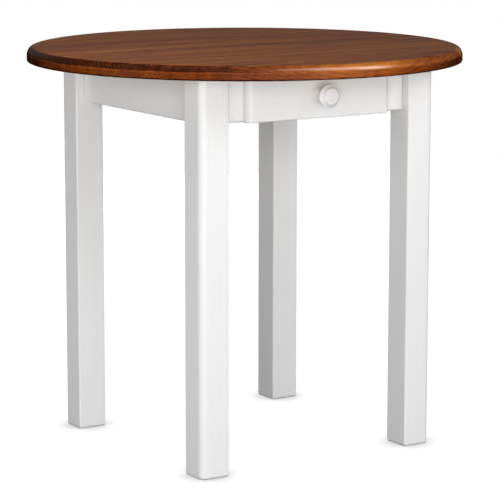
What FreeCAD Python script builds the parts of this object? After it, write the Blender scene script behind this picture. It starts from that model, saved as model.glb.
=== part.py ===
import FreeCAD, Part
import math
import os
import Sketcher
from FreeCAD import Placement, Rotation, Vector

# Round dining table with one drawer. Millimetres, +Z up, origin on the floor under the
# middle of the top. The drawer front faces -Y, and +X is to the right of someone at the drawer.

doc = FreeCAD.newDocument("round_table")
sizes = doc.addObject("Spreadsheet::Sheet", "Sizes")

TABLE = [
    ("table_height", 780, "floor to upper face of the top"),
    ("top_diam", 850, "diameter of the round top"),
    ("top_thick", 27, "thickness of the top"),
    ("top_round", 12.5, "quarter round on the upper edge of the top"),
    ("top_quirk", 1.0, "small ledge under the quarter round"),
    ("top_ease", 2.0, "easing of the lower edge of the top"),
    ("board_count", 7, "boards glued side by side in the top"),
    ("leg_size", 60, "side of a square leg"),
    ("leg_centre", 234, "leg axis from the middle, both ways"),
    ("leg_outer_round", 13, "rounding of a leg's outermost corner"),
    ("leg_edge_round", 3, "rounding of a leg's other long edges"),
    ("foot_ease", 5, "rounding around the foot"),
    ("leg_flat", 14, "flat on the leg's inner corner behind the corner block"),
    ("apron_height", 89, "height of the aprons"),
    ("apron_thick", 22, "thickness of the aprons"),
    ("apron_setback", 18, "outer face of an apron behind the leg's face"),
    ("apron_round", 5, "rounding of an apron's outer edges"),
    ("opening_half", 143, "half width of the drawer opening"),
    ("opening_sill", 15, "apron left under the drawer opening"),
    ("opening_head", 12, "apron left over the drawer opening"),
    ("dowel_diam", 8, "dowels between apron and leg"),
    ("dowel_long", 40, "length of those dowels"),
    ("dowel_inset", 21, "dowel from the apron's upper or lower edge"),
    ("dowel_bevel", 1, "bevel at a dowel's ends"),
    ("drill_play", 0.1, "room around a dowel or a screw, on the radius"),
    ("block_thick", 24, "thickness of a corner block"),
    ("block_tall", 60, "height of a corner block"),
    ("block_gap", 1, "gap between corner block and leg"),
    ("bolt_diam", 8, "hanger bolt through a corner block"),
    ("bolt_in_leg", 42, "length of the hanger bolt inside the leg"),
    ("bolt_long", 80, "whole length of the hanger bolt"),
    ("washer_diam", 16, "washer under the nut"),
    ("washer_thick", 1.6, "thickness of the washer"),
    ("nut_across", 13, "nut across its flats"),
    ("nut_tall", 6.5, "height of the nut"),
    ("screw_diam", 4, "wood screws"),
    ("block_screw_long", 30, "length of a corner block's screws"),
    ("block_screw_inset", 14, "such a screw from the end of the block's inner face"),
    ("block_screw_apart", 12, "such a screw above or below the bolt"),
    ("csk_head", 7.6, "countersunk head"),
    ("csk_deep", 2.4, "depth of the countersunk head"),
    ("pan_head", 7.4, "pan head"),
    ("pan_tall", 2.4, "height of the pan head"),
    ("bracket_leg", 28, "side of an angle bracket"),
    ("bracket_wide", 20, "width of an angle bracket"),
    ("bracket_thick", 2, "sheet of an angle bracket"),
    ("bracket_hole", 12, "hole from the free end of a bracket's side"),
    ("bracket_off", 95, "bracket from the middle of its apron"),
    ("bracket_screw_long", 16, "length of a bracket screw under its head"),
    ("runner_inner", 126, "inner edge of a runner's ledge"),
    ("runner_guide", 143.5, "inner face of a runner's side guide"),
    ("runner_outer", 160, "outer face of a runner"),
    ("runner_ledge", 12, "thickness of the ledge"),
    ("runner_rise", 24, "side guide above the ledge"),
    ("tenon_long", 8, "stub tenon at a runner's ends"),
    ("tenon_wide", 10, "width of that tenon"),
    ("tenon_tall", 28, "height of that tenon"),
    ("tenon_inset", 3, "tenon in from the runner's outer face"),
    ("tenon_low", 4, "tenon up from the runner's underside"),
    ("kicker_inner", 122, "inner edge of a kicker strip"),
    ("kicker_wide", 22, "width of a kicker strip"),
    ("kicker_tall", 15.5, "height of a kicker strip"),
    ("kicker_end", 0.5, "kicker strip short of each apron"),
    ("kicker_screw_long", 30, "length of a kicker's screws"),
    ("kicker_screw_step", 150, "spacing of a kicker's screws"),
    ("front_half", 162, "half width of the drawer front"),
    ("front_tall", 87.5, "height of the drawer front"),
    ("front_thick", 16, "thickness of the drawer front"),
    ("front_drop", 1, "drawer front below the apron's underside"),
    ("front_gap", 0.5, "drawer front in front of the apron"),
    ("front_round", 13, "rounding of the drawer front's ends"),
    ("front_ease", 2.5, "easing of its long edges"),
    ("box_half", 142, "half width of the drawer box"),
    ("box_long", 400, "length of the drawer box"),
    ("box_wall", 12, "thickness of the drawer box"),
    ("box_tall", 57.2, "height of the drawer box"),
    ("box_lift", 0.4, "drawer box over the runners"),
    ("box_ease", 1.2, "easing of the upper edges of the box"),
    ("groove_low", 6.6, "groove for the drawer bottom, up from the lower edge"),
    ("groove_tall", 4.3, "height of that groove"),
    ("groove_deep", 5.5, "depth of that groove"),
    ("bottom_thick", 4, "thickness of the drawer bottom"),
    ("bottom_in", 5, "drawer bottom inside the groove"),
    ("pin_diam", 5, "pins at the corners of the box"),
    ("pin_long", 30, "length of those pins"),
    ("pin_low", 17, "lower pin above the box's lower edge"),
    ("pin_high", 44, "upper pin above the box's lower edge"),
    ("face_screw_off", 95, "drawer front's screws from the middle"),
    ("face_screw_low", 17.6, "lower screw above the box's lower edge"),
    ("face_screw_high", 41.6, "upper screw above the box's lower edge"),
    ("face_screw_long", 24, "length of those screws under the head"),
    ("knob_screw_long", 43, "length of the knob's screw under its head"),
    ("knob_bore", 18, "depth of the knob's screw hole"),
    ("knob_collar", 14.5, "radius of the knob's collar"),
    ("knob_neck", 11.5, "radius of the knob's neck"),
    ("knob_head", 22.3, "radius of the knob's head"),
    ("knob_face", 15.6, "radius of the knob's face"),
    ("knob_scotia", 12, "hollow from the knob's rim to its face"),
    ("knob_out", 38, "knob's face in front of the drawer front"),
]


class Size:
    """A length with its value and the sheet expression that it comes from."""

    def __init__(self, value, text):
        self.value = float(value)
        self.text = text

    def __add__(self, other):
        other = as_size(other)
        return Size(self.value + other.value, "(%s + %s)" % (self.text, other.text))

    def __sub__(self, other):
        other = as_size(other)
        return Size(self.value - other.value, "(%s - %s)" % (self.text, other.text))

    def __mul__(self, other):
        other = as_size(other)
        return Size(self.value * other.value, "(%s * %s)" % (self.text, other.text))

    def __truediv__(self, other):
        other = as_size(other)
        return Size(self.value / other.value, "(%s / %s)" % (self.text, other.text))

    def __neg__(self):
        return Size(-self.value, "(-1 * %s)" % self.text)

    def __radd__(self, other):
        return as_size(other) + self

    def __rsub__(self, other):
        return as_size(other) - self

    def __rmul__(self, other):
        return as_size(other) * self


def as_size(thing):
    return thing if isinstance(thing, Size) else Size(thing, repr(float(thing)))


S = {}
for row, (alias, number, note) in enumerate(TABLE, 1):
    sizes.set("A%d" % row, note)
    sizes.set("B%d" % row, str(number))
    sizes.setAlias("B%d" % row, alias)
doc.recompute()
for alias, number, note in TABLE:
    S[alias] = Size(sizes.get(alias), "Sizes." + alias)


# ---------------------------------------------------------------- small makers

def bind(obj, **props):
    """Bind sizes of an object to the sheet."""
    for prop, size in props.items():
        obj.setExpression(prop, as_size(size).text)


def put(obj, x=0, y=0, z=0):
    """Bind an object's place to the sheet."""
    for axis, size in (("x", x), ("y", y), ("z", z)):
        obj.setExpression("Placement.Base." + axis, as_size(size).text)


def box(name, x, y, z, dx, dy, dz):
    made = doc.addObject("Part::Box", name)
    bind(made, Length=dx, Width=dy, Height=dz)
    put(made, x, y, z)
    return made


WAY = {
    "+z": Rotation(),
    "-z": Rotation(Vector(1, 0, 0), 180),
    "+x": Rotation(Vector(0, 1, 0), 90),
    "-x": Rotation(Vector(0, 1, 0), -90),
    "+y": Rotation(Vector(1, 0, 0), -90),
    "-y": Rotation(Vector(1, 0, 0), 90),
    "out": Rotation(Vector(0, 0, 1), Vector(1, 1, 0)),
}


def bore(name, way, x, y, z, radius, depth):
    """A drilled hole, from its mouth inwards."""
    made = doc.addObject("Part::Cylinder", name)
    made.Placement = Placement(Vector(), WAY[way])
    bind(made, Radius=radius, Height=depth)
    put(made, x, y, z)
    return made


def compound(name, things):
    made = doc.addObject("Part::Compound", name)
    made.Links = list(things)
    return made


def cut(name, base, tools):
    made = doc.addObject("Part::Cut", name)
    made.Base = base
    made.Tool = tools[0] if len(tools) == 1 else compound(name + "_tools", tools)
    return made


def copies(name, master, places):
    """Copies of one fastener at several places, as one group of separate solids."""
    links = []
    for number, place in enumerate(places, 1):
        link = doc.addObject("App::Link", "%s_%d" % (name, number))
        link.LinkedObject = master
        link.Placement = place
        links.append(link)
    return compound(name, links)


def origin_plane(body, role):
    return [f for f in body.Origin.OriginFeatures if f.Role == role][0]


def sketch(body, name, role="XY_Plane", offset=0):
    made = body.newObject("Sketcher::SketchObject", name)
    made.AttachmentSupport = [(origin_plane(body, role), "")]
    made.MapMode = "FlatFace"
    if as_size(offset).value != 0:
        made.setExpression("AttachmentOffset.Base.z", as_size(offset).text)
    return made


def outline(made, points, arcs=None):
    """Closed outline through points in the first quadrant, every coordinate bound to the sheet.

    arcs maps a segment's number to (radius, centre x, centre y, direction), direction +1
    where the outline runs counter-clockwise round the centre and -1 where it runs clockwise.
    """
    arcs = arcs or {}
    points = [(as_size(x), as_size(y)) for x, y in points]
    count = len(points)
    begin, finish = [], []
    for i in range(count):
        a = Vector(points[i][0].value, points[i][1].value, 0)
        b = Vector(points[(i + 1) % count][0].value, points[(i + 1) % count][1].value, 0)
        if i in arcs:
            radius, cx, cy, turn = arcs[i]
            centre = Vector(as_size(cx).value, as_size(cy).value, 0)
            first, last = (a, b) if turn > 0 else (b, a)
            start = math.atan2(first.y - centre.y, first.x - centre.x)
            end = math.atan2(last.y - centre.y, last.x - centre.x)
            if end <= start:
                end += 2 * math.pi
            circle = Part.Circle(centre, Vector(0, 0, 1), as_size(radius).value)
            made.addGeometry(Part.ArcOfCircle(circle, start, end), False)
            begin.append(1 if turn > 0 else 2)
            finish.append(2 if turn > 0 else 1)
        else:
            made.addGeometry(Part.LineSegment(a, b), False)
            begin.append(1)
            finish.append(2)
    for i in range(count):
        j = (i + 1) % count
        made.addConstraint(Sketcher.Constraint("Coincident", i, finish[i], j, begin[j]))
    for i, (x, y) in enumerate(points):
        if abs(x.value) < 1e-9:
            made.addConstraint(Sketcher.Constraint("PointOnObject", i, begin[i], -2))
        else:
            n = made.addConstraint(Sketcher.Constraint("DistanceX", -1, 1, i, begin[i], x.value))
            made.setExpression("Constraints[%d]" % n, x.text)
        if abs(y.value) < 1e-9:
            made.addConstraint(Sketcher.Constraint("PointOnObject", i, begin[i], -1))
        else:
            n = made.addConstraint(Sketcher.Constraint("DistanceY", -1, 1, i, begin[i], y.value))
            made.setExpression("Constraints[%d]" % n, y.text)
    for i, (radius, cx, cy, turn) in arcs.items():
        n = made.addConstraint(Sketcher.Constraint("Radius", i, as_size(radius).value))
        made.setExpression("Constraints[%d]" % n, as_size(radius).text)


def oblong(made, x, y):
    outline(made, [(0, 0), (x, 0), (x, y), (0, y)])


def pad(body, made, length, name):
    grown = body.newObject("PartDesign::Pad", name)
    grown.Profile = made
    bind(grown, Length=length)
    doc.recompute()
    return grown


def pocket(body, made, length, name):
    sunk = body.newObject("PartDesign::Pocket", name)
    sunk.Profile = made
    bind(sunk, Length=length)
    doc.recompute()
    return sunk


def fillet(body, base, pick, radius, name):
    doc.recompute()
    edges = ["Edge%d" % n for n, e in enumerate(base.Shape.Edges, 1) if pick(e)]
    if not edges:
        raise RuntimeError("no edge to round on " + name)
    made = body.newObject("PartDesign::Fillet", name)
    made.Base = (base, edges)
    bind(made, Radius=radius)
    doc.recompute()
    return made


def turned(name, points, arcs=None):
    """A lathe-turned piece: outline of radius and height, swung about its own Z axis."""
    body = doc.addObject("PartDesign::Body", name)
    made = sketch(body, name + "_outline", "XZ_Plane")
    outline(made, points, arcs)
    spun = body.newObject("PartDesign::Revolution", name + "_spin")
    spun.Profile = made
    spun.ReferenceAxis = (made, ["V_Axis"])
    spun.Angle = 360
    doc.recompute()
    return body


def flat_box(e):
    b = e.BoundBox
    return b.XMin, b.XMax, b.YMin, b.YMax, b.ZMin, b.ZMax


def upright_at(e, x, y):
    x0, x1, y0, y1, z0, z1 = flat_box(e)
    return z1 - z0 > 1 and abs(x0 - x) < 0.01 and abs(x1 - x) < 0.01 and abs(y0 - y) < 0.01 and abs(y1 - y) < 0.01


def spin(obj, angle):
    """Turn a piece about the table's own upright axis."""
    obj.Placement = Placement(Vector(), Rotation(Vector(0, 0, 1), angle))


def placed(way, x, y, z, angle=0):
    here = Placement(Vector(as_size(x).value, as_size(y).value, as_size(z).value), WAY[way])
    return Placement(Vector(), Rotation(Vector(0, 0, 1), angle)).multiply(here)


NODES = []


def node(obj, label):
    obj.Label = label
    NODES.append(obj)
    return obj


# ---------------------------------------------------------------- levels and planes

half = as_size(0.5)
under_top = S["table_height"] - S["top_thick"]
apron_low = under_top - S["apron_height"]
apron_mid = under_top - S["apron_height"] * half
leg_inner = S["leg_centre"] - S["leg_size"] * half
leg_outer = S["leg_centre"] + S["leg_size"] * half
apron_outer = leg_outer - S["apron_setback"]
apron_inner = apron_outer - S["apron_thick"]
apron_core = apron_outer - S["apron_thick"] * half
dowel_low = apron_low + S["dowel_inset"]
dowel_high = under_top - S["dowel_inset"]
dowel_bore = S["dowel_diam"] * half + S["drill_play"]
dowel_half = S["dowel_long"] * half
screw_bore = S["screw_diam"] * half + S["drill_play"]
sill = apron_low + S["opening_sill"]
box_low = sill + S["box_lift"]
box_high = box_low + S["box_tall"]
box_front = -apron_outer - S["front_gap"]
box_back = box_front + S["box_long"]
groove_low = box_low + S["groove_low"]
front_low = apron_low - S["front_drop"]
front_mid = front_low + S["front_tall"] * half
root_two = math.sqrt(2)

ANGLE = {"back_right": 0, "back_left": 90, "front_left": 180, "front_right": 270}
SIDE = {"back": 0, "left": 90, "front": 180, "right": 270}

# ---------------------------------------------------------------- fasteners, each drawn once
# Screws point along +Z from the top of the head.

r_screw = S["screw_diam"] * half


def crossed(name, plain, wide):
    """A cross-shaped recess in a screw's head."""
    one = box(name + "_slot_a", -wide * half, -0.5, -1, wide, 1.0, 2.3)
    two = box(name + "_slot_b", -0.5, -wide * half, -1, 1.0, wide, 2.3)
    both = doc.addObject("Part::MultiFuse", name + "_cross")
    both.Shapes = [one, two]
    made = doc.addObject("Part::Cut", name)
    made.Base = plain
    made.Tool = both
    return made


def csk_screw(name, long):
    r_head = S["csk_head"] * half
    plain = turned(name + "_plain", [
        (0, 0), (r_head, 0), (r_head, 0.2), (r_screw, S["csk_deep"]),
        (r_screw, long - 4), (0.4, long), (0, long)])
    return crossed(name, plain, as_size(4.2))


def pan_screw(name, long):
    r_head = S["pan_head"] * half
    seat = S["pan_tall"]
    plain = turned(name + "_plain", [
        (0, 0), (r_head - 1.4, 0), (r_head, 1.4), (r_head, seat), (r_screw, seat),
        (r_screw, seat + long - 3), (0.5, seat + long), (0, seat + long)],
        {1: (1.4, r_head - 1.4, 1.4, 1)})
    return crossed(name, plain, as_size(4.2))


# ---------------------------------------------------------------- legs

def leg(where):
    name = "leg_" + where
    body = doc.addObject("PartDesign::Body", name + "_blank")
    side = S["leg_size"]
    square = sketch(body, name + "_square")
    oblong(square, side, side)
    stock = pad(body, square, under_top, name + "_stock")
    full = side.value
    soft = fillet(body, stock, lambda e: upright_at(e, full, full), S["leg_outer_round"], name + "_outer_round")
    soft = fillet(body, soft, lambda e: flat_box(e)[5] < 0.01, S["foot_ease"], name + "_foot_ease")
    soft = fillet(body, soft, lambda e: upright_at(e, full, 0) or upright_at(e, 0, full) or upright_at(e, 0, 0),
                  S["leg_edge_round"], name + "_edge_round")
    corner = sketch(body, name + "_corner", "XY_Plane", under_top)
    outline(corner, [(0, 0), (S["leg_flat"], 0), (0, S["leg_flat"])])
    pocket(body, corner, S["apron_height"], name + "_flat")
    put(body, leg_inner, leg_inner, 0)
    tools = []
    for n, z in enumerate((dowel_low, dowel_high)):
        tools.append(bore("%s_dx%d" % (name, n), "+x", leg_inner - 1, apron_core, z, dowel_bore, dowel_half + 1.5))
        tools.append(bore("%s_dy%d" % (name, n), "+y", apron_core, leg_inner - 1, z, dowel_bore, dowel_half + 1.5))
    spot = leg_inner + S["leg_flat"] * half
    tools.append(bore(name + "_bolt", "out", spot - 2, spot - 2, apron_mid, S["bolt_diam"] * half + S["drill_play"],
                      S["bolt_in_leg"] + 2 * root_two + 0.5))
    made = cut(name, body, tools)
    spin(made, ANGLE[where])
    return node(made, name)


for where in ("front_left", "front_right", "back_left", "back_right"):
    leg(where)

# ---------------------------------------------------------------- aprons
# Each apron is drawn as the back one and turned to its side.

face_gap = (S["block_gap"] * root_two)
block_out = leg_inner * 2 + S["leg_flat"] - face_gap          # x + y on the block's face towards the leg
block_in = block_out - S["block_thick"] * root_two            # x + y on its inner face
block_tip = block_in - apron_inner                            # where the inner face meets an apron
block_heel = block_out - apron_inner
shift = S["block_screw_inset"] / root_two
screw_a = (block_tip + shift, apron_inner - shift)
screw_levels = (apron_mid - S["block_screw_apart"], apron_mid + S["block_screw_apart"])


def block_bores(name):
    """Screw holes that run from both corner blocks of an apron into it at 45 degrees."""
    made = []
    for n, z in enumerate(screw_levels):
        one = bore("%s_s%d" % (name, n), "out", screw_a[0], screw_a[1], z, screw_bore, S["block_screw_long"] + 0.4)
        made.append(one)
        two = doc.addObject("Part::Cylinder", "%s_t%d" % (name, n))
        two.Placement = Placement(Vector(), Rotation(Vector(0, 0, 1), Vector(-1, 1, 0)))
        bind(two, Radius=screw_bore, Height=S["block_screw_long"] + 0.4)
        put(two, -screw_a[0], screw_a[1], z)
        made.append(two)
    return made


def apron(side):
    name = "apron_" + side
    body = doc.addObject("PartDesign::Body", name + "_blank")
    long = leg_inner * 2
    plan = sketch(body, name + "_plan")
    oblong(plan, long, S["apron_thick"])
    board = pad(body, plan, S["apron_height"], name + "_board")
    lx, ly = long.value, S["apron_thick"].value

    def outer(e):
        x0, x1, y0, y1, z0, z1 = flat_box(e)
        return upright_at(e, 0, ly) or upright_at(e, lx, ly) or (y0 > ly - 0.01 and z1 < 0.01)

    fillet(body, board, outer, S["apron_round"], name + "_round")
    put(body, -leg_inner, apron_inner, apron_low)
    tools = []
    for n, z in enumerate((dowel_low, dowel_high)):
        tools.append(bore("%s_dl%d" % (name, n), "+x", -leg_inner - 1, apron_core, z, dowel_bore, dowel_half + 1.5))
        tools.append(bore("%s_dr%d" % (name, n), "-x", leg_inner + 1, apron_core, z, dowel_bore, dowel_half + 1.5))
    tools += block_bores(name)
    if side in ("back", "front"):
        play = S["drill_play"]
        low = sill - S["runner_ledge"] + S["tenon_low"] - play
        near = S["runner_outer"] - S["tenon_inset"] - S["tenon_wide"] - play
        wide = S["tenon_wide"] + play * 2
        for n, x in enumerate((near, -near - wide)):
            tools.append(box("%s_mortise%d" % (name, n), x, apron_inner - 1, low,
                             wide, S["tenon_long"] + 1.2, S["tenon_tall"] + play * 2))
    if side == "front":
        tools.append(box(name + "_opening", -S["opening_half"], apron_inner - 1, sill,
                         S["opening_half"] * 2, S["apron_thick"] + 2,
                         S["apron_height"] - S["opening_sill"] - S["opening_head"]))
    else:
        level = under_top - S["bracket_leg"] + S["bracket_hole"]
        for n, x in enumerate((S["bracket_off"], -S["bracket_off"])):
            tools.append(bore("%s_b%d" % (name, n), "+y", x, apron_inner - 1, level, screw_bore,
                              S["bracket_screw_long"] - S["bracket_thick"] + 1.5))
    made = cut(name, body, tools)
    spin(made, SIDE[side])
    return node(made, name)


for side in ("front", "back", "left", "right"):
    apron(side)

# ---------------------------------------------------------------- dowels of the frame

r_dowel, bevel = S["dowel_diam"] * half, S["dowel_bevel"]
dowel_master = turned("dowel_master", [
    (0, 0), (r_dowel - bevel, 0), (r_dowel, bevel), (r_dowel, S["dowel_long"] - bevel),
    (r_dowel - bevel, S["dowel_long"]), (0, S["dowel_long"])])
places = []
for angle in SIDE.values():
    for z in (dowel_low, dowel_high):
        places.append(placed("+x", leg_inner - dowel_half, apron_core, z, angle))
        places.append(placed("-x", -leg_inner + dowel_half, apron_core, z, angle))
node(copies("apron_dowels", dowel_master, places), "apron_dowels")

# ---------------------------------------------------------------- corner blocks, bolts, washers, nuts

block_low = apron_mid - S["block_tall"] * half


def corner_block(where):
    name = "corner_block_" + where
    body = doc.addObject("PartDesign::Body", name + "_blank")
    plan = sketch(body, name + "_plan")
    outline(plan, [(block_heel, apron_inner), (block_tip, apron_inner),
                   (apron_inner, block_tip), (apron_inner, block_heel)])
    pad(body, plan, S["block_tall"], name + "_bar")
    put(body, 0, 0, block_low)
    spot = block_in * half
    tools = [bore(name + "_bolt", "out", spot - 2, spot - 2, apron_mid, S["bolt_diam"] * half + 0.5,
                  S["block_thick"] + 6)]
    for n, z in enumerate(screw_levels):
        for m, (x, y) in enumerate((screw_a, (screw_a[1], screw_a[0]))):
            tools.append(bore("%s_s%d%d" % (name, n, m), "out", x - 1, y - 1, z, screw_bore, S["block_screw_long"]))
            sink = doc.addObject("Part::Cone", "%s_c%d%d" % (name, n, m))
            sink.Placement = Placement(Vector(), WAY["out"])
            bind(sink, Radius1=S["csk_head"] * half + 0.4, Radius2=screw_bore, Height=S["csk_deep"] + 0.2)
            put(sink, x, y, z)
            tools.append(sink)
    made = cut(name, body, tools)
    spin(made, ANGLE[where])
    return node(made, name)


for where in ("front_left", "front_right", "back_left", "back_right"):
    corner_block(where)

block_screw = csk_screw("block_screw", S["block_screw_long"])
places = []
for angle in ANGLE.values():
    for z in screw_levels:
        places.append(placed("out", screw_a[0] + 0.1, screw_a[1] + 0.1, z, angle))
        places.append(placed("out", screw_a[1] + 0.1, screw_a[0] + 0.1, z, angle))
node(copies("corner_block_screws", block_screw, places), "corner_block_screws")

r_bolt = S["bolt_diam"] * half
bolt_master = turned("bolt_master", [
    (0, 0), (r_bolt - 0.8, 0), (r_bolt, 0.8), (r_bolt, S["bolt_long"] - 6), (1, S["bolt_long"]), (0, S["bolt_long"])])
flat_at = leg_inner + S["leg_flat"] * half
reach = (S["bolt_long"] - S["bolt_in_leg"]) / root_two
node(copies("leg_bolts", bolt_master,
            [placed("out", flat_at - reach, flat_at - reach, apron_mid, a) for a in ANGLE.values()]), "leg_bolts")

washer_disc = bore("washer_disc", "+z", 0, 0, 0, S["washer_diam"] * half, S["washer_thick"])
washer_eye = bore("washer_eye", "+z", 0, 0, -1, r_bolt + 0.2, S["washer_thick"] + 2)
washer_master = cut("washer_master", washer_disc, [washer_eye])
seat = block_in * half - S["washer_thick"] / root_two
node(copies("leg_washers", washer_master,
            [placed("out", seat, seat, apron_mid, a) for a in ANGLE.values()]), "leg_washers")

nut_hex = doc.addObject("Part::Prism", "nut_hex")
nut_hex.Polygon = 6
bind(nut_hex, Circumradius=S["nut_across"] / math.sqrt(3), Height=S["nut_tall"])
nut_eye = bore("nut_eye", "+z", 0, 0, -1, r_bolt + 0.05, S["nut_tall"] + 2)
nut_master = cut("nut_master", nut_hex, [nut_eye])
nut_at = seat - S["nut_tall"] / root_two
node(copies("leg_nuts", nut_master,
            [placed("out", nut_at, nut_at, apron_mid, a) for a in ANGLE.values()]), "leg_nuts")

# ---------------------------------------------------------------- angle brackets and their screws

bracket_body = doc.addObject("PartDesign::Body", "bracket_sheet")
bend = sketch(bracket_body, "bracket_bend", "YZ_Plane")
size, sheet = S["bracket_leg"], S["bracket_thick"]
outline(bend, [(0, size - sheet), (size - sheet, size - sheet), (size - sheet, 0), (size, 0), (size, size), (0, size)])
bent = pad(bracket_body, bend, S["bracket_wide"], "bracket_pad")
inner = (size - sheet).value
fillet(bracket_body, bent, lambda e: abs(flat_box(e)[2] - inner) < 0.01 and abs(flat_box(e)[4] - inner) < 0.01
       and flat_box(e)[1] - flat_box(e)[0] > 1, 1.5, "bracket_bend_round")
mid_wide = S["bracket_wide"] * half
bracket_master = cut("bracket_master", bracket_body, [
    bore("bracket_hole_a", "+y", mid_wide, size - sheet - 1, S["bracket_hole"], r_screw + 0.4, sheet + 2),
    bore("bracket_hole_b", "+z", mid_wide, S["bracket_hole"], size - sheet - 1, r_screw + 0.4, sheet + 2)])
spots, apron_screws, top_screws, top_pilots = [], [], [], []
pan = S["pan_tall"]
for side in ("back", "left", "right"):
    for x in (S["bracket_off"], -S["bracket_off"]):
        spots.append(placed("+z", x - mid_wide, apron_inner - size, under_top - size, SIDE[side]))
        apron_screws.append(placed("+y", x, apron_inner - sheet - pan, under_top - size + S["bracket_hole"], SIDE[side]))
        top_screws.append(placed("+z", x, apron_inner - size + S["bracket_hole"], under_top - sheet - pan, SIDE[side]))
node(copies("top_brackets", bracket_master, spots), "top_brackets")
bracket_screw = pan_screw("bracket_screw", S["bracket_screw_long"])
node(copies("bracket_screws", bracket_screw, apron_screws + top_screws), "bracket_screws")
for n, (x, y) in enumerate(
        [(sx * S["bracket_off"], apron_inner - size + S["bracket_hole"]) for sx in (1, -1)]
        + [(sx * (apron_inner - size + S["bracket_hole"]), sy * S["bracket_off"]) for sx in (1, -1) for sy in (1, -1)]):
    top_pilots.append(bore("top_pilot_%d" % n, "+z", x, y, under_top - 1, screw_bore,
                           S["bracket_screw_long"] - sheet + 1.5))

# ---------------------------------------------------------------- drawer runners and kickers

runner_body = doc.addObject("PartDesign::Body", "drawer_runner_right_bar")
runner_low = sill - S["runner_ledge"]
section = sketch(runner_body, "runner_section", "XZ_Plane", -apron_inner)
outline(section, [
    (S["runner_inner"], runner_low), (S["runner_outer"], runner_low),
    (S["runner_outer"], sill + S["runner_rise"]), (S["runner_guide"], sill + S["runner_rise"]),
    (S["runner_guide"], sill), (S["runner_inner"], sill)])
pad(runner_body, section, apron_inner * 2, "runner_bar")
stub = sketch(runner_body, "runner_stub", "XZ_Plane", -apron_inner - S["tenon_long"])
stub_x = S["runner_outer"] - S["tenon_inset"]
stub_z = runner_low + S["tenon_low"]
outline(stub, [(stub_x - S["tenon_wide"], stub_z), (stub_x, stub_z),
               (stub_x, stub_z + S["tenon_tall"]), (stub_x - S["tenon_wide"], stub_z + S["tenon_tall"])])
pad(runner_body, stub, apron_inner * 2 + S["tenon_long"] * 2, "runner_tenons")
node(runner_body, "drawer_runner_right")
other = doc.addObject("Part::Mirroring", "runner_left_mirror")
other.Source = runner_body
other.Normal = Vector(1, 0, 0)
node(other, "drawer_runner_left")

kicker_low = under_top - S["kicker_tall"]
kicker_x = S["kicker_inner"] + S["kicker_wide"] * half
kicker_ys = (-S["kicker_screw_step"], as_size(0), S["kicker_screw_step"])
kicker_places = []
for hand, sign in (("right", 1), ("left", -1)):
    low_x = S["kicker_inner"] if sign > 0 else -S["kicker_inner"] - S["kicker_wide"]
    strip = box("kicker_strip_" + hand, low_x, -apron_inner + S["kicker_end"], kicker_low, S["kicker_wide"],
                apron_inner * 2 - S["kicker_end"] * 2, S["kicker_tall"])
    tools = []
    for n, y in enumerate(kicker_ys):
        tools.append(bore("kicker_%s_h%d" % (hand, n), "+z", sign * kicker_x, y, kicker_low - 1, screw_bore,
                          S["kicker_tall"] + 2))
        sink = doc.addObject("Part::Cone", "kicker_%s_c%d" % (hand, n))
        bind(sink, Radius1=S["csk_head"] * half + 0.4, Radius2=screw_bore, Height=S["csk_deep"] + 0.2)
        put(sink, sign * kicker_x, y, kicker_low)
        tools.append(sink)
        kicker_places.append(placed("+z", sign * kicker_x, y, kicker_low + 0.15))
        top_pilots.append(bore("top_kick_%s_%d" % (hand, n), "+z", sign * kicker_x, y, under_top - 1, screw_bore,
                               S["kicker_screw_long"] - S["kicker_tall"] + 2))
    node(cut("drawer_kicker_" + hand, strip, tools), "drawer_kicker_" + hand)
kicker_screw = csk_screw("kicker_screw", S["kicker_screw_long"])
node(copies("kicker_screws", kicker_screw, kicker_places), "kicker_screws")

# ---------------------------------------------------------------- round top, glued from boards

radius = S["top_diam"] * half
edge = radius - S["top_quirk"]
shoulder = S["table_height"] - S["top_round"]
ease = S["top_ease"]
disc = turned("top_disc", [
    (0, under_top), (radius - ease, under_top), (radius - ease * 0.3, under_top + ease * 0.3),
    (radius, under_top + ease), (radius, shoulder - 0.3), (radius - 0.3, shoulder), (edge, shoulder),
    (edge - S["top_round"], S["table_height"]), (0, S["table_height"])],
    {6: (S["top_round"], edge - S["top_round"], shoulder, 1)})
drilled = cut("top_drilled", disc, top_pilots)
count = int(S["board_count"].value)
board_wide = S["top_diam"] / S["board_count"]
for number in range(1, count + 1):
    low = radius - board_wide * number
    deep = board_wide
    if number == 1:
        deep = deep + 5
    if number == count:
        low, deep = low - 5, deep + 5
    lane = box("lane_%d" % number, -radius - 5, low, under_top - 5, S["top_diam"] + 10, deep, S["top_thick"] + 10)
    plank = doc.addObject("Part::Common", "plank_%d" % number)
    plank.Base = drilled
    plank.Tool = lane
    node(plank, "top_board_%d" % number)

# ---------------------------------------------------------------- drawer

face_body = doc.addObject("PartDesign::Body", "drawer_front_board")
plan = sketch(face_body, "drawer_front_plan")
oblong(plan, S["front_half"] * 2, S["front_thick"])
face = pad(face_body, plan, S["front_tall"], "drawer_front_pad")
wide = (S["front_half"] * 2).value
face = fillet(face_body, face, lambda e: upright_at(e, 0, 0) or upright_at(e, wide, 0), S["front_round"],
              "drawer_front_ends")
tall, thick = S["front_tall"].value, S["front_thick"].value


def long_edge(e):
    x0, x1, y0, y1, z0, z1 = flat_box(e)
    level = z1 < 0.01 or z0 > tall - 0.01
    return level and y0 < thick - 0.01 and (x1 - x0) > 1 and not (y0 > thick - S["front_round"].value and y1 > thick - 0.01 and x1 - x0 < 0.01)


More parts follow.
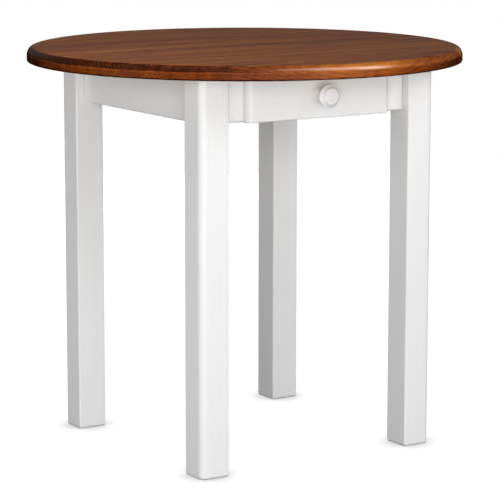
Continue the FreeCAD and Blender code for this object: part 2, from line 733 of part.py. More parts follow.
face = fillet(face_body, face, long_edge, S["front_ease"], "drawer_front_ease")
put(face_body, -S["front_half"], box_front - S["front_thick"], front_low)
face_levels = (box_low + S["face_screw_low"], box_low + S["face_screw_high"])
tools = [bore("front_knob_hole", "-y", 0, box_front + 1, front_mid, r_screw + 0.3, S["front_thick"] + 2)]
for n, z in enumerate(face_levels):
    for m, x in enumerate((S["face_screw_off"], -S["face_screw_off"])):
        tools.append(bore("front_pilot_%d%d" % (n, m), "-y", x, box_front + 1, z, screw_bore,
                          S["face_screw_long"] - S["box_wall"] + 1.5))
node(cut("drawer_front_cut", face_body, tools), "drawer_front")

# Box front and back stand between the two sides. The bottom slides in its groove under the back.
pin_levels = (box_low + S["pin_low"], box_low + S["pin_high"])
inside = S["box_half"] - S["box_wall"]
pin_front = box_front + S["box_wall"] * half
pin_back = box_back - S["box_wall"] * half
pin_bore = S["pin_diam"] * half + S["drill_play"]


def pin_bores(name, y):
    made = []
    for n, z in enumerate(pin_levels):
        made.append(bore("%s_r%d" % (name, n), "-x", S["box_half"] + 1, y, z, pin_bore, S["pin_long"] + 1.5))
        made.append(bore("%s_l%d" % (name, n), "+x", -S["box_half"] - 1, y, z, pin_bore, S["pin_long"] + 1.5))
    return made


def eased_board(name, x, y, z, dx, dy, dz, along):
    """A board with its two upper long edges eased."""
    body = doc.addObject("PartDesign::Body", name)
    plan = sketch(body, name + "_plan")
    oblong(plan, dx, dy)
    board = pad(body, plan, dz, name + "_pad")
    top = as_size(dz).value

    def upper(e):
        x0, x1, y0, y1, z0, z1 = flat_box(e)
        return z0 > top - 0.01 and (x1 - x0 if along == "x" else y1 - y0) > 20

    fillet(body, board, upper, S["box_ease"], name + "_ease")
    put(body, x, y, z)
    return body


front_board = eased_board("box_front_board", -inside, box_front, box_low, inside * 2, S["box_wall"], S["box_tall"], "x")
tools = [box("box_front_groove", -inside - 1, box_front + S["box_wall"] - S["groove_deep"], groove_low,
             inside * 2 + 2, S["groove_deep"] + 1, S["groove_tall"]),
         bore("box_front_knob_hole", "-y", 0, box_front + S["box_wall"] + 1, front_mid, r_screw + 0.3,
              S["box_wall"] + 2)]
for n, z in enumerate(face_levels):
    for m, x in enumerate((S["face_screw_off"], -S["face_screw_off"])):
        tools.append(bore("box_front_s%d%d" % (n, m), "-y", x, box_front + S["box_wall"] + 1, z, screw_bore,
                          S["box_wall"] + 2))
tools += pin_bores("box_front_pin", pin_front)
node(cut("drawer_box_front_cut", front_board, tools), "drawer_box_front")

for hand, sign in (("right", 1), ("left", -1)):
    low_x = inside if sign > 0 else -S["box_half"]
    wall = eased_board("box_side_" + hand, low_x, box_front, box_low, S["box_wall"], S["box_long"], S["box_tall"], "y")
    groove_x = inside - 1 if sign > 0 else -inside - S["groove_deep"]
    tools = [box("box_side_groove_" + hand, groove_x, box_front + S["box_wall"] - S["groove_deep"], groove_low,
                 S["groove_deep"] + 1, S["box_long"], S["groove_tall"])]
    for n, z in enumerate(pin_levels):
        for m, y in enumerate((pin_front, pin_back)):
            tools.append(bore("box_side_%s_%d%d" % (hand, n, m), "-x" if sign > 0 else "+x",
                              sign * (S["box_half"] + 1), y, z, pin_bore, S["box_wall"] + 2))
    node(cut("drawer_side_cut_" + hand, wall, tools), "drawer_side_" + hand)

back_low = groove_low + S["groove_tall"]
rear = eased_board("box_back_board", -inside, box_back - S["box_wall"], back_low, inside * 2, S["box_wall"],
                   box_high - back_low, "x")
node(cut("drawer_back_cut", rear, pin_bores("box_back_pin", pin_back)), "drawer_back")

panel_front = box_front + S["box_wall"] - S["bottom_in"]
node(box("drawer_bottom_panel", -inside - S["bottom_in"], panel_front, groove_low + 0.15,
         (inside + S["bottom_in"]) * 2, box_back - panel_front, S["bottom_thick"]), "drawer_bottom")

r_pin = S["pin_diam"] * half
pin_master = turned("pin_master", [
    (0, 0), (r_pin - 0.4, 0), (r_pin, 0.4), (r_pin, S["pin_long"] - 0.4), (r_pin - 0.4, S["pin_long"]),
    (0, S["pin_long"])])
places = []
for y in (pin_front, pin_back):
    for z in pin_levels:
        places.append(placed("-x", S["box_half"], y, z))
        places.append(placed("+x", -S["box_half"], y, z))
node(copies("drawer_box_pins", pin_master, places), "drawer_box_pins")

face_screw = pan_screw("face_screw", S["face_screw_long"])
node(copies("drawer_front_screws", face_screw,
            [placed("-y", sx * S["face_screw_off"], box_front + S["box_wall"] + pan, z)
             for sx in (1, -1) for z in face_levels]), "drawer_front_screws")

knob_screw = pan_screw("knob_screw_drawn", S["knob_screw_long"])
node(copies("knob_screw", knob_screw, [placed("-y", 0, box_front + S["box_wall"] + pan, front_mid)]), "knob_screw")

# Turned knob: collar, stout neck, cove, rim, hollow shoulder, small groove and a slightly domed face.
bore_r = r_screw + S["drill_play"]
out = S["knob_out"]
neck, head, disc_r, hollow = S["knob_neck"], S["knob_head"], S["knob_face"], S["knob_scotia"]
dome = 0.9
dome_r = ((disc_r.value - 1.0) ** 2 + dome ** 2) / (2 * dome)
start = (head.value - 0.6, out.value - 7.4)
stop = (disc_r.value + 0.5, out.value - 1.9)
chord = math.hypot(stop[0] - start[0], stop[1] - start[1])
sag = math.sqrt(hollow.value ** 2 - chord ** 2 / 4) / chord
hollow_r = (start[0] + stop[0]) / 2 + (stop[1] - start[1]) * sag
hollow_z = (start[1] + stop[1]) / 2 + (start[0] - stop[0]) * sag
knob_body = turned("drawer_knob_turned", [
    (bore_r, 0), (S["knob_collar"], 0), (S["knob_collar"], 2), (S["knob_collar"] - 2, 4), (neck + 0.5, 4),
    (neck, out - 17.4), (neck + 6.5, out - 10.9), (head - 2.3, out - 10.9), (head, out - 8.6), (head, out - 8),
    (head - 0.6, out - 7.4), (disc_r + 0.5, out - 1.9), (disc_r, out - 2.5), (disc_r, out - 1.9),
    (disc_r - 1, out - 0.9), (0, out),
    (0, S["knob_bore"]), (bore_r, S["knob_bore"])],
    {2: (2, S["knob_collar"] - 2, 2, 1),
     5: (6.5, neck + 6.5, out - 17.4, -1),
     7: (2.3, head - 2.3, out - 8.6, 1),
     10: (hollow, hollow_r, hollow_z, -1),
     13: (1, disc_r - 1, out - 1.9, 1),
     14: (dome_r, 0, out - dome_r, 1)})
knob_body.Placement = Placement(Vector(), WAY["-y"])
put(knob_body, 0, box_front - S["front_thick"], front_mid)
node(knob_body, "drawer_knob")

# ---------------------------------------------------------------- test and write

doc.recompute()
bad = [o.Name for o in doc.Objects if "Invalid" in o.State or "Error" in o.State]
for obj in NODES:
    shape = obj.Shape
    if shape.isNull() or not shape.isValid() or not shape.Solids:
        bad.append(obj.Label)
if bad:
    raise RuntimeError("failed pieces: " + ", ".join(bad))

os.makedirs("parts", exist_ok=True)
for obj in NODES:
    obj.Shape.exportStep(os.path.join("parts", obj.Label + ".step"))
    b = obj.Shape.BoundBox
    print("%-26s %2d solids %10.0f mm3  x %.1f..%.1f  y %.1f..%.1f  z %.1f..%.1f" % (
        obj.Label, len(obj.Shape.Solids), obj.Shape.Volume, b.XMin, b.XMax, b.YMin, b.YMax, b.ZMin, b.ZMax))
print(len(NODES), "nodes")
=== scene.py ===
import math

import bpy
from mathutils import Matrix, Vector


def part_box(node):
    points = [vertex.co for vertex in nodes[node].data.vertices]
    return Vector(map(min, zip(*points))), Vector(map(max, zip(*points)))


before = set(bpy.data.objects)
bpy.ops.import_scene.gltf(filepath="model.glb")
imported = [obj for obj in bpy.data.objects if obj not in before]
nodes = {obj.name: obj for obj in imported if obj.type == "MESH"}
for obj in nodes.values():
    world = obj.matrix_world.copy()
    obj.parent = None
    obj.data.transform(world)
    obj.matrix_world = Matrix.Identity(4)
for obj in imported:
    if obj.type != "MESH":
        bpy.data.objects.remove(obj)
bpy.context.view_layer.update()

scene = bpy.context.scene

# ---------------------------------------------------------------- node graph helpers


class Graph:
    """Short calls for building the nodes of one material."""

    def __init__(self, tree):
        self.tree = tree
        tree.nodes.clear()

    def add(self, kind, inputs=None, **settings):
        made = self.tree.nodes.new(kind)
        for key, value in settings.items():
            setattr(made, key, value)
        for key, value in (inputs or {}).items():
            self.feed(made.inputs[key], value)
        return made

    def feed(self, socket, value):
        if isinstance(value, bpy.types.NodeSocket):
            self.tree.links.new(value, socket)
        else:
            socket.default_value = value

    def math(self, op, a, b=None, c=None, clamp=False):
        inputs = {i: v for i, v in enumerate((a, b, c)) if v is not None}
        return self.add("ShaderNodeMath", inputs, operation=op, use_clamp=clamp).outputs[0]

    def vec(self, op, a, b=None):
        inputs = {i: v for i, v in enumerate((a, b)) if v is not None}
        made = self.add("ShaderNodeVectorMath", inputs, operation=op)
        return made.outputs["Value" if op in ("LENGTH", "DOT_PRODUCT", "DISTANCE") else "Vector"]

    def scaled(self, vector, factors):
        return self.vec("MULTIPLY", vector, factors)

    def apart(self, vector):
        return self.add("ShaderNodeSeparateXYZ", {0: vector}).outputs

    def noise(self, vector, detail=2.0, rough=0.5, distortion=0.0, colour=False):
        made = self.add("ShaderNodeTexNoise", {
            "Vector": vector, "Scale": 1.0, "Detail": detail, "Roughness": rough, "Distortion": distortion})
        return made.outputs["Color" if colour else "Fac"]

    def noise_on(self, value, detail=2.0, rough=0.5):
        return self.add("ShaderNodeTexNoise", {
            "W": value, "Scale": 1.0, "Detail": detail, "Roughness": rough}, noise_dimensions="1D").outputs["Fac"]

    def fit(self, value, a, b, c=0.0, d=1.0, kind="SMOOTHSTEP"):
        return self.add("ShaderNodeMapRange", {
            "Value": value, "From Min": a, "From Max": b, "To Min": c, "To Max": d},
            interpolation_type=kind, clamp=True).outputs[0]

    def ramp(self, value, stops, kind="LINEAR"):
        made = self.add("ShaderNodeValToRGB", {"Fac": value})
        line = made.color_ramp
        line.interpolation = kind
        while len(line.elements) < len(stops):
            line.elements.new(0.5)
        for element, (at, colour) in zip(line.elements, stops):
            element.position = at
            element.color = (*colour, 1.0)
        return made.outputs["Color"]

    def mix(self, amount, a, b, how="MIX"):
        made = self.add("ShaderNodeMix", data_type="RGBA", blend_type=how, clamp_factor=True)
        self.feed(made.inputs[0], amount)
        for socket, value in ((made.inputs[6], a), (made.inputs[7], b)):
            self.feed(socket, value if isinstance(value, bpy.types.NodeSocket) else (*value, 1.0))
        return made.outputs[2]

    def total(self, *terms):
        """Sum of (value, weight) pairs and plain numbers."""
        result = None
        for term in terms:
            if isinstance(term, tuple):
                value, weight = term
                if result is None:
                    result = self.math("MULTIPLY", value, weight)
                else:
                    result = self.math("MULTIPLY_ADD", value, weight, result)
            else:
                result = self.math("ADD", result, term)
        return result

    def bump(self, height, distance, strength=1.0, normal=None):
        inputs = {"Height": height, "Distance": distance, "Strength": strength}
        if normal is not None:
            inputs["Normal"] = normal
        return self.add("ShaderNodeBump", inputs).outputs["Normal"]

    def surface(self, **values):
        shader = self.add("ShaderNodeBsdfPrincipled")
        for key, value in values.items():
            self.feed(shader.inputs[key.replace("_", " ")], value)
        out = self.add("ShaderNodeOutputMaterial")
        self.tree.links.new(shader.outputs[0], out.inputs["Surface"])
        return shader


def material(name):
    made = bpy.data.materials.new(name)
    made.use_nodes = True
    return made, Graph(made.node_tree)


def dress(name, made):
    """Give a node's every material slot one material."""
    mesh_object = nodes[name]
    if not mesh_object.material_slots:
        mesh_object.data.materials.append(made)
    for slot in mesh_object.material_slots:
        slot.material = made


TURN = {  # rotation that brings a piece's long direction onto X
    "x": (0.0, 0.0, 0.0),
    "y": (0.0, 0.0, math.radians(-90)),
    "z": (0.0, math.radians(90), 0.0),
    "falling": (0.0, 0.0, math.radians(45)),
    "rising": (0.0, 0.0, math.radians(-45)),
}


def along(g, direction, seed):
    """Object coordinates turned so that X follows the grain, shifted by a seed."""
    place = g.add("ShaderNodeTexCoord")
    shift = (seed * 1.37 % 5.0, seed * 0.71 % 3.0, seed * 0.43 % 2.0)
    turned = g.add("ShaderNodeMapping", {
        "Vector": place.outputs["Object"], "Rotation": TURN[direction], "Location": shift})
    return place, turned.outputs["Vector"], shift


def growth(g, grain, pith, spacing, taper=0.004, wander=0.012, uneven=2.0):
    """Solid growth rings round a pith that runs along the grain, with fibres and broad tone."""
    soft = g.noise(g.scaled(grain, (1.1, 5.0, 5.0)), 2.0, 0.5, colour=True)
    drift = g.scaled(g.vec("SUBTRACT", soft, (0.5, 0.5, 0.5)), (0.0, wander * 2, wander * 2))
    centred = g.vec("SUBTRACT", g.vec("ADD", grain, drift), (0.0, pith[0], pith[1]))
    length = g.apart(grain)[0]
    radius = g.math("MULTIPLY_ADD", length, taper, g.vec("LENGTH", g.scaled(centred, (0.0, 1.0, 1.0))))
    years = g.math("MULTIPLY_ADD", g.noise_on(g.math("MULTIPLY", radius, 32.0), 2.0), uneven,
                   g.math("DIVIDE", radius, spacing))
    saw = g.math("FRACT", years)
    late = g.math("MULTIPLY", g.fit(saw, 0.35, 0.93), g.fit(saw, 0.95, 1.0, 1.0, 0.0))
    return {
        "late": late,
        "fibre": g.noise(g.scaled(grain, (9.0, 420.0, 420.0)), 3.0, 0.6),
        "streak": g.noise(g.scaled(grain, (1.1, 46.0, 46.0)), 4.0, 0.55),
        "broad": g.noise(g.scaled(grain, (0.7, 9.0, 9.0)), 2.0, 0.5),
        "dash": g.noise(g.scaled(grain, (6.5, 90.0, 90.0)), 3.0, 0.62),
        "fleck": g.fit(g.noise(g.scaled(grain, (34.0, 1500.0, 1500.0)), 1.0), 0.60, 0.72),
    }


# ---------------------------------------------------------------- stained top

BOARD = {  # name: (seed, pith across, pith below, tone of the face, tone of the left end, tone of the right end)
    "top_board_1": (3.1, 0.020, -0.075, 0.00, 0.00, 0.28),
    "top_board_2": (7.7, -0.045, -0.050, 0.04, -0.06, 0.34),
    "top_board_3": (12.9, 0.075, -0.110, -0.04, -0.06, 0.40),
    "top_board_4": (18.2, -0.010, -0.060, 0.03, -0.07, 0.50),
    "top_board_5": (23.6, 0.050, -0.090, -0.02, 0.07, 0.52),
    "top_board_6": (29.3, -0.080, -0.070, 0.03, 0.02, 0.64),
    "top_board_7": (34.8, 0.035, -0.100, 0.00, 0.05, 0.16),
}

STAIN = [
    (0.00, (0.034, 0.0080, 0.0030)),
    (0.10, (0.066, 0.0150, 0.0045)),
    (0.22, (0.120, 0.0275, 0.0068)),
    (0.45, (0.230, 0.0580, 0.0115)),
    (0.62, (0.325, 0.0910, 0.0165)),
    (0.82, (0.425, 0.1350, 0.0215)),
    (1.00, (0.530, 0.1800, 0.0300)),
]


def stained(name):
    seed, across, below, face_tone, left_tone, right_tone = BOARD[name]
    made, g = material("stain_" + name)
    place, grain, shift = along(g, "x", seed)
    low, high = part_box(name)
    middle = (low.y + high.y) / 2
    wood = growth(g, grain, (middle + across + shift[1], 0.766 + below + shift[2]), 0.0052, 0.010, 0.010)
    x, y, z = g.apart(place.outputs["Object"])[:]
    reach = g.math("SQRT", g.math("ADD", g.math("MULTIPLY", x, x), g.math("MULTIPLY", y, y)))
    rim = g.fit(reach, 0.4085, 0.4175)
    sideways = g.math("DIVIDE", g.math("ABSOLUTE", x), reach)
    edge = g.fit(reach, 0.4105, 0.4165)
    end = g.math("MULTIPLY", g.fit(sideways, 0.02, 0.60), edge)
    # glue line between two boards
    inner = g.math("PINGPONG", g.math("SUBTRACT", y, 0.425), 0.425 * 2 / 7 / 2)
    rough_line = g.noise(g.scaled(grain, (60.0, 8.0, 8.0)), 2.0)
    glue = g.math("MULTIPLY", g.fit(inner, 0.0, 0.0007, 1.0, 0.0), g.fit(rough_line, 0.35, 0.65))
    scuff = g.noise(g.scaled(place.outputs["Object"], (16.0, 16.0, 16.0)), 5.0, 0.62)
    # marks that the cutter left along and across the moulded rim, with painted shade along the rim's bottom edge and a
    # painted highlight along its ledge
    turn = g.math("MULTIPLY", g.math("ARCTAN2", y, x), 0.425)
    upright = g.add("ShaderNodeCombineXYZ", {0: g.math("MULTIPLY", turn, 310.0), 1: g.math("MULTIPLY", z, 34.0), 2: seed})
    chatter = g.math("MULTIPLY", g.math("SUBTRACT", g.noise(upright.outputs[0], 2.0, 0.6), 0.5), rim)
    around_rim = g.add("ShaderNodeCombineXYZ", {
        0: g.math("MULTIPLY", turn, 26.0), 1: g.math("MULTIPLY", z, 330.0), 2: g.math("MULTIPLY", reach, 330.0)})
    ribbon = g.math("MULTIPLY", g.math("SUBTRACT", g.noise(around_rim.outputs[0], 2.0, 0.55), 0.5), rim)
    over = g.math("MULTIPLY", g.fit(z, 0.7668, 0.7692), rim)
    # darker roundover, growing deeper down and strongest at the left end: partly stain soaked into the end grain,
    # partly painted shade where the roundover turns away from the light
    deep = g.math("MULTIPLY", g.math("MULTIPLY", over, edge), g.fit(z, 0.7801, 0.7778, 0.6, 1.0))
    soaked_and_shaded = g.math("MULTIPLY", g.math("MULTIPLY", deep, g.fit(x, 0.10, 0.30, 1.0, 0.25)),
                    g.fit(sideways, 0.10, 0.75, kind="LINEAR"))
    lower = g.math("SUBTRACT", rim, over)
    # painted shade: the rim's lower band darkened on the right side and at the far left towards the back
    lower_band_shade = g.math("MULTIPLY", lower, g.math("MAXIMUM", g.fit(x, 0.03, 0.10),
                                            g.math("MULTIPLY", g.fit(x, -0.20, -0.30), g.fit(y, 0.02, 0.08))))
    # the right-end tones in BOARD are much lighter than the left ones: painted light on the rim's right end, on top of
    # the boards' own end tones
    end_tone = g.math("MULTIPLY", g.math("MULTIPLY", end, g.fit(x, -0.1, 0.1, left_tone, right_tone)),
                      g.fit(over, 0.0, 1.0, g.fit(x, -0.1, 0.1, 1.0, 0.25), 1.0))
    patchy = g.fit(rough_line, 0.30, 0.60, 0.35, 1.0)
    # painted shade: a dark line, in patches, along the bottom few millimetres of the rim
    lower_edge_shade = g.math("MULTIPLY", g.fit(z, 0.7570, 0.7546), patchy)
    # painted highlight: a thin lighter line, in patches, along the ledge between the roundover and the lower band
    ledge_highlight = g.math("MULTIPLY", g.math("MULTIPLY", rim, patchy),
                   g.fit(g.math("ABSOLUTE", g.math("SUBTRACT", z, 0.7672)), 0.0013, 0.0003))
    figure = g.total((wood["streak"], 0.95), (wood["broad"], 0.40), (wood["dash"], 1.05), (wood["fibre"], 0.34),
                     (wood["late"], -0.30), -1.280)
    figure = g.math("MULTIPLY", figure, g.fit(rim, 0.2, 1.0, 1.0, 0.34))
    tone = g.total(
        (figure, 1.0), (wood["fleck"], -0.10), (over, 0.20), (lower, -0.08), (end, -0.28), (end_tone, 1.0),
        (glue, -0.16), (chatter, 0.10), (ribbon, 0.36), (soaked_and_shaded, -0.54), (lower_band_shade, -0.13), (lower_edge_shade, -0.50), (ledge_highlight, 0.20),
        0.60 + face_tone)
    colour = g.mix(lower, g.ramp(tone, STAIN), (1.0, 0.88, 0.62), "MULTIPLY")
    # the underside is planed and only sealed, with stain run over its outer margin
    under = g.fit(g.apart(place.outputs["Normal"])[2], -0.5, -0.9)
    bare = g.ramp(g.total((wood["streak"], 0.60), (wood["broad"], 0.40), (wood["dash"], 0.30), (wood["fibre"], 0.30),
                          (wood["late"], -0.36), (wood["fleck"], -0.12), (glue, -0.30), -0.18), [
        (0.00, (0.330, 0.165, 0.068)), (0.35, (0.480, 0.290, 0.145)),
        (0.65, (0.590, 0.405, 0.235)), (1.00, (0.670, 0.515, 0.340))])
    run = g.math("SUBTRACT", 1.0, g.fit(g.math("MULTIPLY_ADD", g.math("SUBTRACT", scuff, 0.5), 0.014, reach), 0.4165, 0.4215))
    colour = g.mix(g.math("MULTIPLY", under, run), colour, bare)
    hairs = g.fit(g.noise(g.scaled(place.outputs["Object"], (34.0, 520.0, 30.0)), 2.0, 0.5, 1.5), 0.66, 0.74)
    polish = g.total((scuff, 0.16), (wood["fibre"], 0.10), (wood["late"], -0.04), (hairs, 0.06), (rim, -0.07), (under, 0.24), 0.20)
    relief = g.total((wood["fibre"], 0.55), (wood["late"], 0.35), (wood["fleck"], -0.5), (glue, -0.6))
    swell = g.noise(g.scaled(grain, (3.0, 22.0, 22.0)), 1.0)
    # the flat falls away gently just before the moulded rim
    eased = g.math("POWER", g.fit(reach, 0.396, 0.4135, kind="LINEAR"), 2.0)
    normal = g.bump(relief, 0.00010, 0.55, g.bump(swell, 0.0009, 0.35, g.bump(g.math("SUBTRACT", 1.0, eased), 0.0010)))
    lacquer = g.fit(g.math("MAXIMUM", lower, under), 0.0, 1.0, 0.95, 0.0, "LINEAR")
    g.surface(Base_Color=colour, Roughness=polish, Normal=normal, IOR=1.5, Specular_IOR_Level=0.14,
              Coat_Weight=lacquer, Coat_Roughness=0.22)
    return made


for name in BOARD:
    dress(name, stained(name))

# ---------------------------------------------------------------- white satin paint over wood


def painted(name, direction, seed, turned_piece=False):
    made, g = material("paint_" + name)
    place, grain, shift = along(g, direction, seed)
    here = place.outputs["Object"]
    wood = growth(g, grain, (0.11 + shift[1], 0.06 + shift[2]), 0.0048, 0.006, 0.010)
    brush = g.noise(g.scaled(grain, (7.0, 260.0, 260.0)), 3.0, 0.6)
    peel = g.noise(g.scaled(here, (420.0, 420.0, 420.0)), 1.0)
    cloud = g.noise(g.scaled(here, (5.0, 5.0, 5.0)), 3.0, 0.55)
    spots = g.fit(g.noise(g.scaled(here, (210.0, 210.0, 210.0)), 2.0), 0.74, 0.80)
    corner = g.add("ShaderNodeBevel", {"Radius": 0.0016}, samples=4)
    facing = g.add("ShaderNodeNewGeometry")
    bend = g.vec("DOT_PRODUCT", corner.outputs["Normal"], facing.outputs["Normal"])
    patchy = g.noise(g.scaled(here, (70.0, 70.0, 70.0)), 3.0, 0.6)
    rub = g.math("MULTIPLY", g.fit(bend, 0.99, 0.80), g.fit(patchy, 0.50, 0.72))
    # painted shade: an ambient-occlusion mask darkens the paint towards brown (0.40, 0.35, 0.29) in creases and joints
    # between parts, and roughens it there
    nook = g.add("ShaderNodeAmbientOcclusion", {"Distance": 0.005}, samples=8)
    crevice_shade = g.fit(nook.outputs["AO"], 0.78, 0.35, 0.0, 0.11, "LINEAR")
    shade = g.total((cloud, 0.45), (brush, 0.35), (wood["late"], -0.12), (spots, -0.25), 0.14)
    colour = g.ramp(shade, [
        (0.0, (0.800, 0.797, 0.793)), (0.45, (0.850, 0.848, 0.847)), (1.0, (0.885, 0.884, 0.886))])
    colour = g.mix(g.math("MULTIPLY", rub, 0.35), colour, (0.70, 0.645, 0.56))
    colour = g.mix(crevice_shade, colour, (0.40, 0.35, 0.29))
    polish = g.total((cloud, 0.14), (brush, 0.16), (spots, 0.10), (rub, 0.12), (crevice_shade, 0.5), 0.24)
    relief = g.total((brush, 0.6), (wood["late"], 0.25), (wood["fibre"], 0.25), (peel, 0.22), (spots, 0.5))
    normal = g.bump(relief, 0.00012, 0.45)
    g.surface(Base_Color=colour, Roughness=polish, Normal=normal, IOR=1.47)
    return made


PAINTED = {
    "leg_front_left": "z", "leg_front_right": "z", "leg_back_left": "z", "leg_back_right": "z",
    "apron_front": "x", "apron_back": "x", "apron_left": "y", "apron_right": "y",
    "drawer_front": "x", "drawer_knob": "y",
}
for number, (name, direction) in enumerate(PAINTED.items()):
    dress(name, painted(name, direction, 2.3 + 4.7 * number))

# ---------------------------------------------------------------- bare pine


def pine(name, direction, seed):
    made, g = material("pine_" + name)
    place, grain, shift = along(g, direction, seed)
    here = place.outputs["Object"]
    low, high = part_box(name)
    wood = growth(g, grain, (0.07 + shift[1], -0.05 + shift[2]), 0.0042, 0.008, 0.012, 1.6)
    facing = g.add("ShaderNodeMapping", {
        "Vector": place.outputs["Normal"], "Rotation": TURN[direction]}, vector_type="NORMAL")
    end = g.fit(g.math("ABSOLUTE", g.apart(facing.outputs["Vector"])[0]), 0.5, 0.95)
    tone = g.total((wood["late"], -0.42), (wood["streak"], 0.45), (wood["broad"], 0.35), (wood["fibre"], 0.22),
                   (wood["fleck"], -0.10), (end, -0.16), 0.16)
    colour = g.ramp(tone, [
        (0.00, (0.340, 0.170, 0.065)), (0.30, (0.520, 0.300, 0.135)),
        (0.60, (0.700, 0.475, 0.255)), (1.00, (0.810, 0.630, 0.400))])
    saw = g.noise(g.scaled(grain, (240.0, 18.0, 18.0)), 1.0)
    polish = g.total((wood["late"], -0.10), (wood["fibre"], 0.20), (saw, 0.08), 0.48)
    relief = g.total((wood["late"], 0.5), (wood["fibre"], 0.6), (wood["fleck"], -0.5), (saw, 0.25))
    normal = g.bump(relief, 0.00016, 0.6)
    g.surface(Base_Color=colour, Roughness=polish, Normal=normal, IOR=1.48)
    return made


PINE = {
    "corner_block_front_left": "falling", "corner_block_back_right": "falling",
    "corner_block_front_right": "rising", "corner_block_back_left": "rising",
    "drawer_runner_left": "y", "drawer_runner_right": "y", "drawer_kicker_left": "y", "drawer_kicker_right": "y",
    "apron_dowels": "x", "drawer_box_front": "x", "drawer_side_left": "y", "drawer_side_right": "y",
    "drawer_back": "x", "drawer_box_pins": "x",
}
for number, (name, direction) in enumerate(PINE.items()):
    dress(name, pine(name, direction, 1.9 + 3.3 * number))

# ---------------------------------------------------------------- plywood drawer bottom


def plywood(name):
    made, g = material("plywood_" + name)
    place, grain, shift = along(g, "x", 41.7)
    wood = growth(g, grain, (0.02 + shift[1], 0.50 + shift[2]), 0.0016, 0.020, 0.030, 3.0)
    level = g.apart(place.outputs["Object"])[2]
    low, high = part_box(name)
    layer = g.math("FRACT", g.math("DIVIDE", g.math("SUBTRACT", level, low.z), (high.z - low.z) / 1.5))
    side = g.fit(g.math("ABSOLUTE", g.apart(place.outputs["Normal"])[2]), 0.3, 0.7, 1.0, 0.0)
    ply = g.math("MULTIPLY", g.fit(layer, 0.62, 0.70), side)
    tone = g.total((wood["late"], -0.26), (wood["streak"], 0.42), (wood["broad"], 0.42), (wood["fibre"], 0.24),
                   (wood["fleck"], -0.16), (ply, -0.45), 0.12)
    colour = g.ramp(tone, [
        (0.00, (0.330, 0.185, 0.085)), (0.35, (0.545, 0.360, 0.195)),
        (0.65, (0.680, 0.490, 0.300)), (1.00, (0.780, 0.620, 0.430))])
    polish = g.total((wood["fibre"], 0.22), (wood["broad"], 0.14), 0.36)
    normal = g.bump(g.total((wood["fibre"], 0.6), (wood["late"], 0.3), (wood["fleck"], -0.7)), 0.00014, 0.5)
    g.surface(Base_Color=colour, Roughness=polish, Normal=normal, IOR=1.48)
    return made


dress("drawer_bottom", plywood("drawer_bottom"))

# ---------------------------------------------------------------- zinc-plated steel


def zinc(name, threaded=False):
    made, g = material("zinc_" + name)
    place = g.add("ShaderNodeTexCoord")
    here = place.outputs["Object"]
    cell = g.add("ShaderNodeTexVoronoi", {"Vector": g.scaled(here, (380.0, 380.0, 380.0)), "Scale": 1.0})
    flake = g.apart(cell.outputs["Color"])[0]
    cloud = g.noise(g.scaled(here, (120.0, 120.0, 120.0)), 4.0, 0.6)
    stain = g.fit(g.noise(g.scaled(here, (46.0, 46.0, 46.0)), 5.0, 0.7), 0.56, 0.74)
    tone = g.total((flake, 0.30), (cloud, 0.55), (stain, -0.35), 0.10)
    colour = g.ramp(tone, [
        (0.0, (0.330, 0.315, 0.285)), (0.4, (0.545, 0.540, 0.515)), (1.0, (0.700, 0.705, 0.700))])
    polish = g.total((flake, 0.08), (cloud, 0.22), (stain, 0.22), 0.20)
    normal = g.bump(g.total((cloud, 0.7), (flake, 0.2)), 0.00006, 0.5)
    if threaded:
        x, y, z = g.apart(here)[:]
        ax, ay = g.math("ABSOLUTE", x), g.math("ABSOLUTE", y)
        run = g.math("MULTIPLY", g.math("ADD", ax, ay), 0.70711)
        side = g.math("MULTIPLY", g.math("SUBTRACT", ax, ay), 0.70711)
        turn = g.math("DIVIDE", g.math("ARCTAN2", g.math("SUBTRACT", z, 0.7085), side), 2 * math.pi)
        thread = g.math("PINGPONG", g.math("ADD", g.math("DIVIDE", run, 0.00125), turn), 0.5)
        normal = g.bump(thread, 0.0009, 0.9, normal)
    g.surface(Base_Color=colour, Roughness=polish, Normal=normal, Metallic=1.0)
    return made


for name in ("corner_block_screws", "leg_bolts", "leg_washers", "leg_nuts", "top_brackets", "bracket_screws",
             "kicker_screws", "drawer_front_screws", "knob_screw"):
    dress(name, zinc(name, name == "leg_bolts"))

# ---------------------------------------------------------------- floor

floor_mesh = bpy.data.meshes.new("floor")
wide = 60.0
floor_mesh.from_pydata([(-wide, -wide, 0), (wide, -wide, 0), (wide, wide, 0), (-wide, wide, 0)], [], [(0, 1, 2, 3)])
floor = bpy.data.objects.new("floor", floor_mesh)
scene.collection.objects.link(floor)
pale, g = material("pale_floor")
path = g.add("ShaderNodeLightPath").outputs["Is Camera Ray"]
# painted contact shadow: the floor's glow is dimmed near the table's feet by an ambient-occlusion mask
near = g.add("ShaderNodeAmbientOcclusion", {"Distance": 0.055}, samples=16)
contact_shadow = g.fit(near.outputs["AO"], 0.35, 0.97, 0.50, 1.0, "LINEAR")
glow = g.math("MULTIPLY", contact_shadow, g.fit(path, 0.0, 1.0, 0.07, 1.0, "LINEAR"))
lit = g.add("ShaderNodeEmission", {"Color": (1.0, 1.0, 1.0, 1.0), "Strength": glow})
matt = g.add("ShaderNodeBsdfDiffuse", {"Color": (0.10, 0.10, 0.10, 1.0)})
both = g.add("ShaderNodeAddShader", {0: lit.outputs[0], 1: matt.outputs[0]})
under = g.add("ShaderNodeNewGeometry").outputs["Backfacing"]
clear = g.add("ShaderNodeBsdfTransparent")
one_way = g.add("ShaderNodeMixShader", {0: g.math("MULTIPLY", under, path), 1: both.outputs[0], 2: clear.outputs[0]})
out = g.add("ShaderNodeOutputMaterial", {"Surface": one_way.outputs[0]})
pale.cycles.emission_sampling = "NONE"
floor_mesh.materials.append(pale)
floor.visible_glossy = False

# ---------------------------------------------------------------- soft studio light

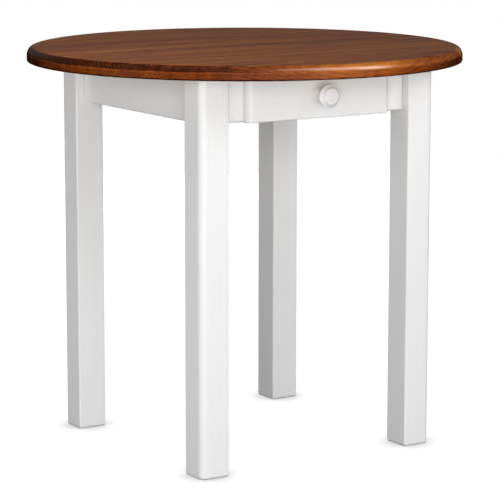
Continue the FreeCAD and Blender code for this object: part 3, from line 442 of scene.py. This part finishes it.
world = bpy.data.worlds.new("studio")
scene.world = world
world.use_nodes = True
g = Graph(world.node_tree)
path = g.add("ShaderNodeLightPath").outputs["Is Camera Ray"]
way = g.add("ShaderNodeTexCoord").outputs["Generated"]
rise = g.apart(way)[2]
behind = g.fit(g.vec("DOT_PRODUCT", way, (0.225, 0.974, 0.0)), 0.60, 0.82, 0.25, 1.0)
band = g.math("MULTIPLY", g.math("MULTIPLY", behind, g.fit(rise, -0.05, 0.05)), g.fit(rise, 0.65, 0.30, 0.005, 0.052))
dim = g.add("ShaderNodeBackground", {"Color": (1.0, 1.0, 1.0, 1.0), "Strength": band})
white = g.add("ShaderNodeBackground", {"Color": (1.0, 1.0, 1.0, 1.0), "Strength": 1.0})
sky = g.add("ShaderNodeMixShader", {0: path, 1: dim.outputs[0], 2: white.outputs[0]})
g.add("ShaderNodeOutputWorld", {"Surface": sky.outputs[0]})


def softbox(name, place, target, size_x, size_y, energy, glare=True, fill=True):
    lamp = bpy.data.lights.new(name, "AREA")
    lamp.shape = "RECTANGLE"
    lamp.size, lamp.size_y = size_x, size_y
    lamp.energy = energy
    made = bpy.data.objects.new(name, lamp)
    scene.collection.objects.link(made)
    made.location = place
    made.rotation_mode = "QUATERNION"
    made.rotation_quaternion = (Vector(target) - Vector(place)).to_track_quat("-Z", "Y")
    made.visible_camera = False
    made.visible_glossy = glare
    made.visible_diffuse = fill
    return made


def around(azimuth, elevation, distance, height=0.5):
    """Place at an angle round the table, azimuth from the front towards the right."""
    a, e = math.radians(azimuth), math.radians(elevation)
    return (math.sin(a) * math.cos(e) * distance, -math.cos(a) * math.cos(e) * distance, height + math.sin(e) * distance)


softbox("front", around(-30, 6, 3.5), (0.0, 0.0, 0.5), 2.2, 1.8, 67.0, False)
softbox("left", around(-90, 6, 3.5), (0.0, 0.0, 0.5), 2.2, 1.8, 41.0, False)
softbox("low", around(-4, -10, 3.5), (0.0, 0.0, 0.5), 2.2, 1.8, 49.5, False)
softbox("right", around(35, 24, 3.5), (0.0, 0.0, 0.6), 0.9, 1.8, 34.0)
softbox("glint", around(14, -1, 3.5), (0.0, 0.0, 0.7), 2.4, 0.62, 9.5, True, False)
softbox("spark", around(22, 37, 3.5), (0.0, 0.0, 0.7), 2.0, 2.5, 50.0, True, False)
softbox("sheen", around(4, 42, 3.5), (0.0, 0.0, 0.7), 2.0, 1.1, 13.0)
softbox("far_right", around(96, 6, 3.5), (0.0, 0.0, 0.5), 2.4, 1.8, 30.0, False)
softbox("back", around(160, 8, 3.5), (0.0, 0.0, 0.5), 2.6, 1.8, 78.0, False)
softbox("above", (-0.50, -0.05, 1.90), (-0.09, 0.0, 0.78), 1.0, 0.8, 13.5, False)

# ---------------------------------------------------------------- camera

yaw, pitch, roll = 0.5746539, 0.1742268, 0.0009104
ahead = Vector((math.sin(yaw) * math.cos(pitch), math.cos(yaw) * math.cos(pitch), -math.sin(pitch)))
right = Vector((math.cos(yaw), -math.sin(yaw), 0.0))
up = right.cross(ahead)
c, s = math.cos(roll), math.sin(roll)
right, up = c * right + s * up, -s * right + c * up
view = bpy.data.cameras.new("camera")
view.sensor_fit = "HORIZONTAL"
view.sensor_width = 36.0
view.lens = 174.733
view.clip_start, view.clip_end = 0.05, 300.0
eye = bpy.data.objects.new("camera", view)
scene.collection.objects.link(eye)
eye.matrix_world = Matrix((
    (right.x, up.x, -ahead.x, -2.569062),
    (right.y, up.y, -ahead.y, -3.987158),
    (right.z, up.z, -ahead.z, 1.207918),
    (0.0, 0.0, 0.0, 1.0)))
scene.camera = eye

scene.view_settings.view_transform = "Standard"
scene.view_settings.look = "None"
scene.view_settings.exposure = 0.0
scene.view_settings.gamma = 1.0

# ---------------------------------------------------------------- end

bpy.context.view_layer.update()
